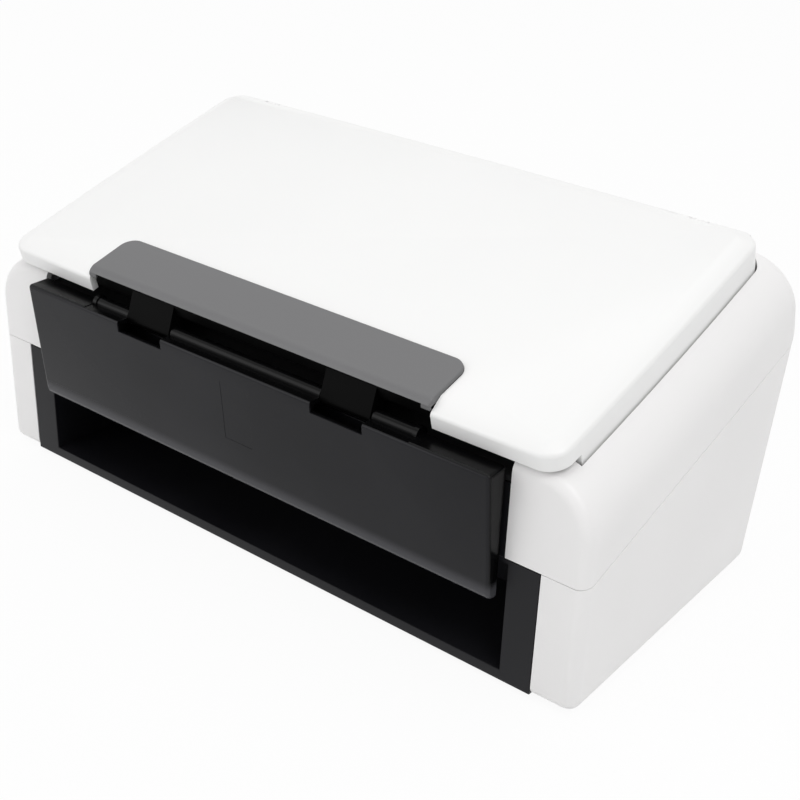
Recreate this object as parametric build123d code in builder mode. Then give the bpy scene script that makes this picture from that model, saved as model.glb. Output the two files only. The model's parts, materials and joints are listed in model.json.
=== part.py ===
# Document scanner for the desk: a white sheet-fed machine with its cover closed.
# Millimetres. X runs from left to right seen from the front, Y from front to rear, Z up.
# The origin is the middle of the footprint, on the desk.
import os
from math import cos, hypot, pi, radians, sin, sqrt

from build123d import *

os.makedirs("parts", exist_ok=True)

# Body
width = 300.0
body_depth = 151.0  # front face to the rearmost line of the body
base_depth = 135.5  # length on the desk, so the rear face leans out upwards
foot_height = 2.0
waist_height = 98.0  # where the rear face turns and leans back in
slope = 15.7  # degrees that the cover and the parting line fall towards the front
parting_height = 53.5  # parting line of the two shells on the front face
parting_gap = 0.3
wall = 2.6
shoulder_radius = 22.0
front_corner_radius = 5.0
rear_corner_radius = 9.0
bottom_radius = 4.0
waist_radius = 12.0
crown_drop = 11.5  # the body's own sloped top lies this far under the lid's top

# Lid
lid_margin = 14.0  # the shoulder beside the lid
lid_width = width - 2 * lid_margin
lid_length = 141.0
lid_front_height = 102.1
lid_lead = 3.9  # the lid's top front edge stands this far before the front face
lid_skirt = 15.8
lip_depth = 9.5
lip_length = 13.0  # the front lip's shorter skirt runs this far along the sides
lid_wall = 2.8
lid_top = 3.0
lid_corner = 9.0
least_corner = 1.0  # where an inner outline runs close inside the lid's corner
lid_bow = 0.8
bevel_drop = 3.0
bevel_width = 7.0
lid_open_angle = 120.0

# Pocket under the lid
pocket_clearance = 0.7
deck_drop = 17.5
deck_thickness = 2.0
pocket_wall = 1.6
pocket_front = 12.0  # the pocket starts this far behind the lid's front edge, beside the flap
ledge_width = 9.0
ledge_thickness = 2.4
fit_gap = 0.3

# Hinge at the lid's rear edge
hinge_margin = 26.0
hinge_x = lid_width / 2 - hinge_margin
hinge_inset = 3.0
hinge_drop = 7.0
hinge_pin_radius = 1.25
hinge_barrel_radius = 2.8
post_width = 8.0
post_thickness = 3.2
lug_thickness = 3.0
running_clearance = 0.05
side_clearance = 0.4

# Grip in the lid's front edge
grip_length = 171.0
grip_depth = 24.6
grip_rise = 1.5
grip_seat = 1.1
grip_roll = 3.6
grip_corner = 6.5
notch_depth = 5.0

# Flap hanging from the lid's front edge
flap_bay_margin = 18.5
flap_bay_width = lid_width - 2 * flap_bay_margin
flap_side_gap = 1.6
flap_width = flap_bay_width - 2 * flap_side_gap
flap_top = 89.7
flap_bottom = 36.9
flap_proud = 10.9
flap_bottom_proud = 5.5
flap_standoff = 1.2
flap_wall = 2.2
flap_rim = 2.4
ear_length = 34.0
ear_step = 0.3
flap_low_edge, flap_high_edge, flap_side_edge = 4.0, 1.4, 1.5
flap_pin_radius = 1.5
flap_barrel_radius = 2.7
flap_axis_proud = 2.6
flap_axis_height = 89.4
knuckle_x = 50.0
knuckle_width = 23.0
knuckle_gap = 0.5

# Openings in the front
flap_bay_depth = 16.0
pillar_margin, pillar_width = 18.0, 13.0
frame_width = width - 2 * pillar_margin
bay_width = frame_width - 2 * pillar_width
bay_depth = 47.0
bay_floor = 6.6
bay_ceiling = 51.5
frame_wall = 2.0
frame_edge = 0.8
frame_lap = 8.0  # the frame's front replaces the base's front edge this deep
exit_slot_low = 19.0
exit_slot_high = 33.0

# Paper path, given as depth from the front face and height
path_in = (118.0, 119.0)
path_out = (54.0, 34.0)
paper_gap = 2.4
guide_thickness = 2.2
nip_gap = 0.3
pick_at, feed_at, scan_at, exit_at = 31.0, 51.5, 70.0, 95.0
pick_radius, separation_radius = 10.0, 8.0
feed_radius, feed_idler_radius = 7.0, 6.0
exit_radius, exit_idler_radius = 7.0, 6.0
shaft_radius = 3.0
idler_shaft_radius = 2.2
collar = 0.5
roller_margin = 1.2

# Side plates, motor and belt
plate_margin, cheek_margin, pulley_offset = 35.0, 7.5, 6.0
plate_x = width / 2 - plate_margin
plate_thickness = 1.5
cheek_x = plate_x - cheek_margin
guide_margin_x = 1.5
guide_width = 2 * (plate_x - guide_margin_x)
cheek_thickness = 3.0
bush_radius = 4.6
bush_flange_radius = 6.2
bush_flange = 1.0
pulley_x = plate_x + pulley_offset
belt_width = 6.0
belt_thickness = 1.4
belt_clearance = 0.1
motor_at = (98.0, 27.0)
motor_radius = 17.0
motor_length = 22.0
motor_pulley_radius = 5.0
drive_pulley_radius = 7.0
pick_pulley_radius = 9.0

# Where things stand, worked out from the sizes above
front_y = (flap_proud - body_depth) / 2
up_y, up_z = -sin(radians(slope)), cos(radians(slope))
along_y, along_z = cos(radians(slope)), sin(radians(slope))
lid_plane = Plane(
    origin=(0, front_y - lid_lead, lid_front_height), x_dir=(1, 0, 0), z_dir=(0, up_y, up_z)
)
parting_plane = Plane(
    origin=(0, front_y, parting_height), x_dir=(1, 0, 0), z_dir=(0, up_y, up_z)
)
floor_top = foot_height + wall


def lid_point(distance, drop):
    """Side-view place (y, z) at a distance behind the lid's front edge and a drop below its top."""
    y = front_y - lid_lead + distance * along_y - drop * up_y
    z = lid_front_height + distance * along_z - drop * up_z
    return y, z


def lid_level(drop):
    """Plane parallel to the lid's top, a drop below it."""
    return lid_plane.offset(-drop)


path_run, path_fall = path_in[0] - path_out[0], path_in[1] - path_out[1]
path_length = hypot(path_run, path_fall)
path_plane = Plane(
    origin=(0, front_y + path_in[0], path_in[1]), x_dir=(1, 0, 0), z_dir=(0, -path_fall, path_run)
)


def path_point(distance, side):
    """Side-view place (y, z) on the paper path; side is positive towards the hatch."""
    y = front_y + path_in[0] - (distance * path_run + side * path_fall) / path_length
    z = path_in[1] - (distance * path_fall - side * path_run) / path_length
    return y, z


def block(plane, x_low, x_high, y_low, y_high, height, mode=Mode.ADD):
    """Rectangular block on a plane, grown along its normal, inside the running part."""
    with BuildSketch(plane) as outline:
        with Locations(((x_low + x_high) / 2, (y_low + y_high) / 2)):
            Rectangle(x_high - x_low, y_high - y_low)
    extrude(outline.sketch, amount=height, mode=mode)


def rod(x_low, x_high, centre, radius, mode=Mode.ADD):
    """Round bar along X at a side-view place (y, z), inside the running part."""
    with BuildSketch(Plane.YZ.offset(x_low)) as outline:
        with Locations(centre):
            Circle(radius)
    extrude(outline.sketch, amount=x_high - x_low, mode=mode)


def slab(x_low, x_high, points, mode=Mode.ADD):
    """Plate with a side-view outline (y, z), from x_low to x_high, inside the running part."""
    with BuildSketch(Plane.YZ.offset(x_low)) as outline:
        with BuildLine():
            Polyline(*points, close=True)
        make_face()
    extrude(outline.sketch, amount=x_high - x_low, mode=mode)


def save(piece, label):
    """Labels a finished piece and writes its STEP file."""
    piece.part.label = label
    export_step(piece.part, f"parts/{label}.step")


# Body envelope, used whole for the outside and inset for the hollow


def envelope(inset):
    """The closed body: side profile across the width, with all its rounded edges."""
    front_top = lid_point((lid_lead + crown_drop * up_y) / along_y, crown_drop)
    waist = (front_y + body_depth, waist_height)
    reach = (waist[0] - front_y + lid_lead) * along_y + (waist[1] - lid_front_height) * along_z
    rear_top = lid_point(reach, crown_drop)
    with BuildPart() as body:
        with BuildSketch(Plane.YZ):
            with BuildLine():
                Polyline(
                    (front_y, foot_height),
                    (front_y + base_depth, foot_height),
                    waist,
                    rear_top,
                    front_top,
                    close=True,
                )
            make_face()
            if inset:
                offset(amount=-inset, kind=Kind.INTERSECTION)
        extrude(amount=width / 2 - inset, both=True)
        along = Axis((0, 0, 0), (0, along_y, along_z))
        top = body.faces().sort_by(Axis((0, 0, 0), (0, up_y, up_z)))[-1]
        fillet(top.edges().filter_by(along), shoulder_radius - inset)
        rear = body.edges().filter_by(Axis.X).sort_by_distance((0, *waist))[0]
        fillet(rear, waist_radius - inset)
        front = body.faces().filter_by(Axis.Y).sort_by(Axis.Y)[0]
        front_edges = front.edges().sort_by(Axis.Z)[1:]
        fillet(front_edges, front_corner_radius - inset)
        limit = front_y + base_depth / 2
        corner = width / 2 - inset - 0.01
        back_edges = [
            edge
            for edge in body.edges()
            if edge.bounding_box().min.Y > limit and edge.bounding_box().min.Z < waist_height
            and abs(edge.center().X) > corner and edge.bounding_box().size.Z > 10
        ]
        fillet(back_edges, rear_corner_radius - inset)
        base = body.faces().sort_by(Axis.Z)[0]
        fillet(base.edges(), bottom_radius - inset)
    return body.part


outer_body = envelope(0)
inner_body = envelope(wall)
with BuildPart() as skin:
    add(outer_body)
    add(inner_body, mode=Mode.SUBTRACT)


def lid_outline(inset):
    """Plan of the lid: a rectangle with slightly bowed sides and round corners."""
    half = lid_width / 2 - inset
    near, middle, far = inset, lid_length / 2, lid_length - inset
    with BuildSketch() as plan:
        with BuildLine():
            ThreePointArc((-half, near), (0, near - lid_bow), (half, near))
            ThreePointArc((half, near), (half + lid_bow, middle), (half, far))
            ThreePointArc((half, far), (0, far + lid_bow), (-half, far))
            ThreePointArc((-half, far), (-half - lid_bow, middle), (-half, near))
        make_face()
        fillet(plan.vertices(), max(lid_corner - inset, least_corner))
    return plan.sketch


# Base shell: the lower tub, open at the front for the output bay
jack_offset, jack_width, jack_height = 44.0, 12.0, 11.0
usb_offset, usb_width, usb_height = 14.0, 13.0, 12.0
port_clearance = 0.5
port_cut = 12.0
board_height = 9.0
board_thickness = 1.6
board_side, board_width = 9.0, 148.0
board_right = plate_x - board_side
board_left = board_right - board_width
jack_x, usb_x = board_right - jack_offset, board_right - usb_offset
board_margin, board_length = 13.5, 44.0
board_rear = base_depth - board_margin
board_front = board_rear - board_length
standoff_radius = 3.0
foot_margin, foot_front, foot_rear = 26.0, 22.0, 112.0
foot_x = width / 2 - foot_margin
foot_radius = 7.0
foot_recess = 0.6
tongue_height = 3.0
tongue_thickness = 1.2
tongue_clearance = 0.25
tongue_front, tongue_rear = 14.0, 116.0
screw_offset, screw_front, screw_rear = 6.0, 62.0, 98.0
screw_x = plate_x + screw_offset
screw_radius = 1.5
screw_head_radius = 3.0
port_base = board_height + board_thickness

with BuildPart() as base_shell:
    add(skin.part)
    split(bisect_by=parting_plane.offset(-parting_gap / 2), keep=Keep.BOTTOM)
    opening = frame_width / 2 + fit_gap
    block(
        Plane.XY, -opening, opening, front_y - 1, front_y + frame_lap + fit_gap, 2 * parting_height,
        Mode.SUBTRACT,
    )
    for x in (board_left + 6, board_right - 6):
        for depth in (board_front + 6, board_rear - 6):
            with BuildSketch(Plane.XY.offset(foot_height + 1)) as standoff:
                with Locations((x, front_y + depth)):
                    Circle(standoff_radius)
            extrude(standoff.sketch, amount=board_height - foot_height - 1)
    rear_limit = front_y + base_depth + port_cut
    for x, size, tall in ((jack_x, jack_width, jack_height), (usb_x, usb_width, usb_height)):
        half = size / 2 + port_clearance
        block(
            Plane.XY.offset(port_base - port_clearance), x - half, x + half,
            front_y + base_depth - 10, rear_limit, tall + 2 * port_clearance, Mode.SUBTRACT,
        )
    for x in (-foot_x, foot_x):
        for depth in (foot_front, foot_rear):
            with BuildSketch(Plane.XY.offset(foot_height)) as recess:
                with Locations((x, front_y + depth)):
                    Circle(foot_radius + fit_gap)
            extrude(recess.sketch, amount=foot_recess, mode=Mode.SUBTRACT)
    for x in (-screw_x, screw_x):
        for depth in (screw_front, screw_rear):
            with Locations(Plane((x, front_y + depth, foot_height), z_dir=(0, 0, -1))):
                CounterSinkHole(screw_radius + 0.2, screw_head_radius, depth=wall + 1)
    for side in (-1, 1):
        inside = side * (width / 2 - wall - tongue_clearance - tongue_thickness)
        for outside, low, high in (
            (side * (width / 2 - wall / 2), -2 * tongue_height, -parting_gap / 2),
            (side * (width / 2 - wall - tongue_clearance), -tongue_height, tongue_height),
        ):
            ends = sorted((inside, outside))
            block(parting_plane.offset(low), *ends, tongue_front, tongue_rear, high - low)
save(base_shell, "base_shell")

# Upper shell: the band round the cover, with the pocket that the lid closes into
with BuildPart() as upper_shell:
    pocket_bottom = deck_drop + deck_thickness
    with BuildSketch(lid_level(pocket_bottom + ledge_thickness)) as ledge:
        add(lid_outline(-pocket_clearance - pocket_wall))
        add(lid_outline(ledge_width), mode=Mode.SUBTRACT)
    extrude(ledge.sketch, amount=ledge_thickness)
    with BuildSketch(lid_level(pocket_bottom + ledge_thickness)) as rim:
        add(lid_outline(-pocket_clearance - pocket_wall))
        add(lid_outline(-pocket_clearance), mode=Mode.SUBTRACT)
    extrude(rim.sketch, amount=pocket_bottom + ledge_thickness)
    block(
        lid_level(pocket_bottom + ledge_thickness), -lid_width / 2, lid_width / 2,
        pocket_front - pocket_wall, pocket_front, pocket_bottom + ledge_thickness,
    )
    add(outer_body, mode=Mode.INTERSECT)
    add(skin.part)
    split(bisect_by=parting_plane.offset(parting_gap / 2), keep=Keep.TOP)
    with BuildSketch(lid_level(pocket_bottom)) as pocket:
        add(lid_outline(-pocket_clearance))
        with Locations((0, pocket_front - lid_length / 2)):
            Rectangle(2 * lid_width, lid_length, mode=Mode.SUBTRACT)
    extrude(pocket.sketch, amount=pocket_bottom, mode=Mode.SUBTRACT)
    half = flap_bay_width / 2
    block(Plane.XY, -half, half, front_y - 1, front_y + flap_bay_depth, 2 * lid_front_height, Mode.SUBTRACT)
save(upper_shell, "upper_shell")


def grip_plan(inset):
    """Plan of the grip: a long rectangle whose two rear corners are round."""
    with BuildSketch() as plan:
        with Locations((0, grip_depth / 2 - 5)):
            Rectangle(grip_length - 2 * inset, grip_depth + 10 - 2 * inset)
        fillet(plan.vertices().sort_by(Axis.Y)[-2:], grip_corner - inset)
    return plan.sketch


hinge_along = lid_length - hinge_inset
hinge_axis = lid_point(hinge_along, hinge_drop)
hinge_notch_drop = 3.2
liner_drop = 6.0
liner_thickness = 1.8
liner_inset = 7.0
boss_radius = 4.0
boss_margin, boss_front, boss_rear = 40.0, 18.0, 84.0
boss_x = lid_width / 2 - boss_margin

# Lid: a shallow cover with a soft bevel, thin walls and a notch for the grip
with BuildPart() as lid:
    with BuildSketch(lid_level(lid_skirt)) as skirt:
        add(lid_outline(0))
    extrude(skirt.sketch, amount=lid_skirt)
    top = lid.faces().sort_by(Axis((0, 0, 0), (0, up_y, up_z)))[-1]
    chamfer(top.edges(), bevel_drop, bevel_width)
    with BuildSketch(lid_level(lid_skirt)) as hollow:
        add(lid_outline(lid_wall))
    extrude(hollow.sketch, amount=lid_skirt - lid_top, mode=Mode.SUBTRACT)
    half = lid_width
    block(lid_level(lid_skirt), -half, half, -5, lip_length, lid_skirt - lip_depth, Mode.SUBTRACT)
    half = grip_length / 2
    block(lid_level(lid_skirt), -half, half, -5, notch_depth, 2 * lid_skirt, Mode.SUBTRACT)
    with BuildSketch(lid_level(grip_seat)) as recess:
        add(grip_plan(0))
    extrude(recess.sketch, amount=grip_seat + 1, mode=Mode.SUBTRACT)
    for x in (-hinge_x, hinge_x):
        half = post_width / 2 + side_clearance
        for inner in (x - half - lug_thickness, x + half):
            slab(
                inner, inner + lug_thickness,
                [
                    lid_point(hinge_along - hinge_barrel_radius, lid_top - 1),
                    lid_point(lid_length - 1, lid_top - 1),
                    lid_point(lid_length - 1, hinge_drop),
                    lid_point(hinge_along - hinge_barrel_radius, hinge_drop),
                ],
            )
            rod(inner, inner + lug_thickness, hinge_axis, hinge_barrel_radius)
        block(
            lid_level(lid_skirt + 1), x - half, x + half, lid_length - lid_wall - 1, lid_length + 5,
            lid_skirt + 1 - hinge_notch_drop, Mode.SUBTRACT,
        )
        reach = half + lug_thickness + 1
        rod(x - reach, x + reach, hinge_axis, hinge_pin_radius + running_clearance, Mode.SUBTRACT)
    for x in (-boss_x, 0, boss_x):
        for distance in (boss_front, boss_rear):
            with BuildSketch(lid_level(liner_drop)) as boss:
                with Locations((x, distance)):
                    Circle(boss_radius)
            extrude(boss.sketch, amount=liner_drop - lid_top + 0.5)
save(lid, "lid")

# Grip: a grey strip that lies in the lid's recess and rolls down over the front
grip_clearance = 0.2
grip_drop = 0.2
grip_inset = 0.0  # the grip's front edge stands this far behind the lid's
grip_tab_drop = 2.2  # at both ends the front hangs down further
grip_tab_length = 4.0
grip_tab_wall = 0.9


def grip_front(drop):
    """Front points of the grip's side view: rolled crest, tip and the step back to its seat."""
    crest = lid_point(grip_inset + grip_roll, -grip_rise)
    tip = lid_point(grip_inset, drop)
    inside = lid_point(grip_inset + grip_tab_wall, drop)
    return crest, tip, inside, lid_point(grip_inset + grip_tab_wall, grip_seat)


with BuildPart() as lid_grip:
    half = grip_length / 2
    with BuildSketch(Plane.YZ.offset(-half)) as profile:
        with BuildLine():
            crest, tip, inside, seat = grip_front(grip_drop)
            TangentArc(crest, tip, tangent=(-along_y, -along_z))
            Polyline(crest, lid_point(grip_depth, -grip_rise), lid_point(grip_depth, grip_seat), seat, tip)
        make_face()
    extrude(profile.sketch, amount=grip_length)
    for x in (-half, half - grip_tab_length):
        with BuildSketch(Plane.YZ.offset(x)) as tab:
            with BuildLine():
                crest, tip, inside, seat = grip_front(grip_tab_drop)
                TangentArc(crest, tip, tangent=(-along_y, -along_z))
                Polyline(crest, lid_point(grip_inset + grip_roll, grip_seat), seat, inside, tip)
            make_face()
        extrude(tab.sketch, amount=grip_tab_length)
    with BuildSketch(lid_level(grip_tab_drop + 1)) as outline:
        add(grip_plan(grip_clearance))
    extrude(outline.sketch, amount=grip_tab_drop + grip_rise + 2, mode=Mode.INTERSECT)
    rim = lid_grip.faces().sort_by(Axis((0, 0, 0), (0, up_y, up_z)))[-1]
    back_edges = rim.edges().filter_by(lambda edge: edge.center().Y > lid_point(grip_roll + 1, 0)[0])
    fillet(back_edges, grip_rise / 2)
save(lid_grip, "lid_grip")

# Flap bracket: black bar under the lid's front edge whose two arms carry the flap
bracket_length = grip_length - 4
bracket_front, bracket_rear = 1.2, 13.5
bracket_top = 1.3
bracket_bottom = 6.4
bracket_plate = 5.4
knuckle_radius = 3.0
flap_axis = (front_y - flap_axis_proud, flap_axis_height)
pin_reach = 15.0
with BuildPart() as flap_bracket:
    slab(
        -bracket_length / 2, bracket_length / 2,
        [
            lid_point(bracket_front, bracket_top),
            lid_point(notch_depth, bracket_top),
            lid_point(notch_depth, lid_top),
            lid_point(bracket_rear, lid_top),
            lid_point(bracket_rear, bracket_plate),
            lid_point(notch_depth, bracket_plate),
            lid_point(notch_depth, bracket_bottom),
            lid_point(bracket_front, bracket_bottom),
        ],
    )
    for x in (-knuckle_x, knuckle_x):
        with BuildSketch(Plane.YZ.offset(x - knuckle_width / 2)) as arm:
            with Locations(flap_axis):
                Circle(knuckle_radius)
            with BuildLine():
                Polyline(
                    lid_point(bracket_front, bracket_top + 1),
                    lid_point(notch_depth, bracket_top + 1),
                    lid_point(notch_depth, bracket_bottom),
                    lid_point(bracket_front, bracket_bottom),
                    close=True,
                )
            make_hull()
        extrude(arm.sketch, amount=knuckle_width)
        rod(x - pin_reach, x + pin_reach, flap_axis, flap_pin_radius, Mode.SUBTRACT)
save(flap_bracket, "flap_bracket")

# Flap: a dark cover over the paper exit, hollow from behind, hung on two pins
flap_lean = (flap_proud - flap_bottom_proud) / (flap_top - flap_bottom)
barrel_collar, barrel_collar_rise = 2.0, 0.5
window_drop = 4.4
mark_width, mark_low, mark_high, mark_depth = 14.0, 57.0, 82.0, 0.15


def flap_front(height, depth=0):
    """Side-view place (y, z) on the flap's front face, or a depth behind it."""
    return front_y - flap_proud + (flap_top - height) * flap_lean + depth, height


with BuildPart() as flap:
    half = flap_width / 2
    back = front_y - flap_standoff
    slab(-half, half, [flap_front(flap_top), (back, flap_top), (back, flap_bottom), flap_front(flap_bottom)])
    fillet(flap.edges().filter_by(Axis.X).sort_by(Axis.Z)[:2].sort_by(Axis.Y)[0], flap_low_edge)
    fillet(flap.edges().filter_by(Axis.X).sort_by(Axis.Z)[-2:].sort_by(Axis.Y)[0], flap_high_edge)
    lean_axis = Axis((0, 0, 0), (0, -flap_lean, 1))
    fillet(flap.edges().filter_by(lean_axis), flap_side_edge)
    inner = half - flap_rim
    high, low = flap_top - flap_rim, flap_bottom + flap_rim
    slab(
        -inner, inner,
        [flap_front(high, flap_wall), (back + 1, high), (back + 1, low), flap_front(low, flap_wall)],
        Mode.SUBTRACT,
    )
    middle = half - ear_length
    block(
        Plane.XY.offset(flap_top - ear_step), -middle, middle, front_y - 2 * flap_proud, front_y,
        2 * ear_step, Mode.SUBTRACT,
    )
    rod(-middle, middle, flap_axis, flap_barrel_radius)
    for inside in (-middle, middle - barrel_collar):
        rod(inside, inside + barrel_collar, flap_axis, flap_barrel_radius + barrel_collar_rise)
    for x in (-knuckle_x, knuckle_x):
        reach = knuckle_width / 2 + knuckle_gap
        block(
            Plane.XY.offset(flap_axis[1] - window_drop), x - reach, x + reach, front_y - 2 * flap_proud,
            front_y + flap_proud, 2 * window_drop, Mode.SUBTRACT,
        )
        rod(
            x - pin_reach - side_clearance, x + pin_reach + side_clearance, flap_axis,
            flap_pin_radius + running_clearance, Mode.SUBTRACT,
        )
    half = mark_width / 2
    slab(
        -half, half,
        [
            flap_front(mark_low, -1), flap_front(mark_low, mark_depth),
            flap_front(mark_high, mark_depth), flap_front(mark_high, -1),
        ],
        Mode.SUBTRACT,
    )
save(flap, "flap")

with BuildPart() as flap_pins:
    for x in (-knuckle_x, knuckle_x):
        rod(x - pin_reach, x + pin_reach, flap_axis, flap_pin_radius)
save(flap_pins, "flap_pins")

# Liner: the black inner face of the lid, on which paper rests when the lid is open
rib_height = 1.2
rib_width = 2.0
rib_count = 9
rib_pitch = 26.0
rib_margin = 49.0
rib_front, rib_rear = 16.0, lid_length - rib_margin
liner_margin = 14.0
liner_rear = lid_length - liner_margin
gear_margin = 29.0
gear_line = lid_length - gear_margin
gear_teeth = 14
gear_module = 1.0
gear_radius = gear_teeth * gear_module / 2
slot_width = 4.6
slot_inner, slot_margin = 26.0, 23.0
slot_outer = lid_width / 2 - slot_margin
rack_height = 2.0
rack_drop = 5.4
stud_radius = 2.5
with BuildPart() as lid_liner:
    with BuildSketch(lid_level(liner_drop + liner_thickness)) as panel:
        add(lid_outline(liner_inset))
        with Locations((0, lid_length)):
            Rectangle(2 * lid_width, 2 * (lid_length - liner_rear), mode=Mode.SUBTRACT)
    extrude(panel.sketch, amount=liner_thickness)
    for index in range(rib_count):
        x = (index - (rib_count - 1) / 2) * rib_pitch
        block(
            lid_level(liner_drop + liner_thickness + rib_height), x - rib_width / 2, x + rib_width / 2,
            rib_front, rib_rear, rib_height,
        )
    for side in (-1, 1):
        line = gear_line - side * gear_radius
        low, high = sorted((side * slot_inner, side * slot_outer))
        block(
            lid_level(liner_drop + liner_thickness + 1), low, high, line - slot_width / 2,
            line + slot_width / 2, liner_thickness + 2, Mode.SUBTRACT,
        )
    with BuildSketch(lid_level(liner_drop)) as stud:
        with Locations((0, gear_line)):
            Circle(stud_radius)
    extrude(stud.sketch, amount=liner_drop - rack_drop + rack_height)
save(lid_liner, "lid_liner")

# Side guides: low walls that slide on the liner, each with a rack on the shared pinion
guide_side = 28.5
guide_inner = lid_width / 2 - guide_side
guide_travel = 78.0
guide_wall = 2.0
guide_foot_width = 16.0
guide_margin, guide_length = 14.5, 31.5
guide_rear = lid_length - guide_margin
guide_front = guide_rear - guide_length
guide_foot = 1.5
guide_bottom = 15.6
guide_gap = 0.15
neck_length = 5.0
tooth_rise, tooth_sink = 0.5, 0.7
tooth_share = 0.38  # part of the pitch that a tooth fills at its middle
rack_back = 2.4


def tooth(rise, sink):
    """Outline of one gear tooth, standing on Y = 0 as its pitch line."""
    pitch = pi * gear_module
    root, tip = pitch * (tooth_share / 2 + 0.06), pitch * (tooth_share / 2 - 0.06)
    with BuildSketch() as outline:
        with BuildLine():
            Polyline((-root, -sink), (root, -sink), (tip, rise), (-tip, rise), close=True)
        make_face()
    return outline.sketch


for side, label in ((-1, "guide_left"), (1, "guide_right")):
    line = gear_line - side * gear_radius
    with BuildPart() as guide:
        top = liner_drop + liner_thickness + guide_gap
        low, high = sorted((side * guide_inner, side * (guide_inner + guide_foot_width)))
        block(lid_level(top + guide_foot), low, high, guide_front + 3, guide_rear - 3, guide_foot)
        low, high = sorted((side * guide_inner, side * (guide_inner + guide_wall)))
        block(lid_level(guide_bottom), low, high, guide_front, guide_rear, guide_bottom - top)
        low, high = sorted((side * guide_inner, side * (guide_inner + neck_length)))
        half = slot_width / 2 - guide_gap
        block(lid_level(top + guide_foot), low, high, line - half, line + half, top + guide_foot - rack_drop)
        low, high = sorted((-side * gear_radius / 2, side * (guide_inner + neck_length)))
        base = line - side * tooth_sink
        ends = sorted((base, base - side * rack_back))
        block(lid_level(rack_drop), low, high, *ends, rack_height)
        count = int((guide_inner + neck_length) / (pi * gear_module))
        with BuildSketch(lid_level(rack_drop)) as teeth:
            for index in range(count):
                x = side * (index - 0.5) * pi * gear_module
                with Locations(Location((x, line), 0 if side > 0 else 180)):
                    add(tooth(tooth_rise, tooth_sink + 0.3))
        extrude(teeth.sketch, amount=rack_height)
    save(guide, label)

with BuildPart() as guide_pinion:
    with BuildSketch(lid_level(rack_drop)) as gear:
        with Locations((0, gear_line)):
            Circle(gear_radius - tooth_sink)
            with PolarLocations(gear_radius, gear_teeth, start_angle=90):
                add(tooth(tooth_rise, tooth_sink + 0.3).rotate(Axis.Z, -90))
            Circle(stud_radius + running_clearance, mode=Mode.SUBTRACT)
    extrude(gear.sketch, amount=rack_height - guide_gap)
save(guide_pinion, "guide_pinion")

# Lid hinge: two posts on the deck and their pins
post_base_width = 14.0
post_base_thickness = 0.8
post_lead = 2.4
with BuildPart() as hinge_posts:
    for x in (-hinge_x, hinge_x):
        half = post_width / 2
        near, far = hinge_along - post_lead, hinge_along - post_lead + post_thickness
        slab(
            x - half, x + half,
            [lid_point(near, deck_drop), lid_point(far, deck_drop), lid_point(far, hinge_drop), lid_point(near, hinge_drop)],
        )
        rod(x - half, x + half, hinge_axis, hinge_barrel_radius)
        base = post_base_width / 2
        block(lid_level(deck_drop), x - base, x + base, near - 1.5, far + 1.5, post_base_thickness)
        rod(x - half, x + half, hinge_axis, hinge_pin_radius, Mode.SUBTRACT)
save(hinge_posts, "hinge_posts")

with BuildPart() as hinge_pins:
    for x in (-hinge_x, hinge_x):
        reach = post_width / 2 + side_clearance + lug_thickness
        rod(x - reach, x + reach, hinge_axis, hinge_pin_radius)
save(hinge_pins, "hinge_pins")

# Deck: black floor of the pocket, with an opening over the paper path
opening_side = 3.0
opening_width = 2 * (plate_x - opening_side)
mouth_reach = 8.5
opening_front, opening_rear = 14.0, path_in[0] + mouth_reach
button_margin, button_at = 31.0, 24.0
button_x = width / 2 - button_margin
button_radius = 4.0
button_clearance = 0.2
button_travel = 0.8
button_flange = 1.0
cup_radius, cup_depth, cup_wall = 5.4, 5.0, 1.2
panel_recess = 0.8
with BuildPart() as deck_frame:
    with BuildSketch(lid_level(deck_drop + deck_thickness)) as plate:
        add(lid_outline(fit_gap - pocket_clearance))
        with Locations((0, (opening_front + opening_rear) / 2)):
            Rectangle(opening_width, opening_rear - opening_front, mode=Mode.SUBTRACT)
    extrude(plate.sketch, amount=deck_thickness)
    half = flap_bay_width / 2 - fit_gap
    block(Plane.XY, -half, half, front_y - 5, front_y + panel_recess, 2 * parting_height, Mode.SUBTRACT)
    for low, high in ((-width / 2, -half), (half, width / 2)):
        block(
            lid_level(deck_drop + 2 * deck_thickness), low, high, -lid_length / 2, pocket_front + fit_gap,
            deck_drop, Mode.SUBTRACT,
        )
    cup_bottom = deck_drop + deck_thickness + cup_depth
    for level, radius, amount, mode in (
        (cup_bottom + cup_wall, cup_radius + cup_wall, cup_depth + cup_wall, Mode.ADD),
        (cup_bottom, cup_radius, cup_depth, Mode.SUBTRACT),
        (cup_bottom, button_radius + button_clearance, 2 * cup_depth, Mode.SUBTRACT),
    ):
        with BuildSketch(lid_level(level)) as ring:
            with Locations((button_x, button_at)):
                Circle(radius)
        extrude(ring.sketch, amount=amount, mode=mode)
save(deck_frame, "deck_frame")

button_rise = 1.2
with BuildPart() as power_button:
    for low, high, radius in (
        (deck_drop + deck_thickness + button_flange, -1, button_radius + button_flange),
        (deck_drop + deck_thickness + cup_depth - 2 * button_travel, 0, button_radius / 2),
    ):
        with BuildSketch(lid_level(low)) as disc:
            with Locations((button_x, button_at)):
                Circle(radius)
        extrude(disc.sketch, amount=low - deck_drop - deck_thickness - guide_gap)
    with BuildSketch(lid_level(deck_drop + deck_thickness + button_flange)) as cap:
        with Locations((button_x, button_at)):
            Circle(button_radius)
    extrude(cap.sketch, amount=deck_thickness + button_flange + button_rise)
save(power_button, "power_button")

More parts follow.
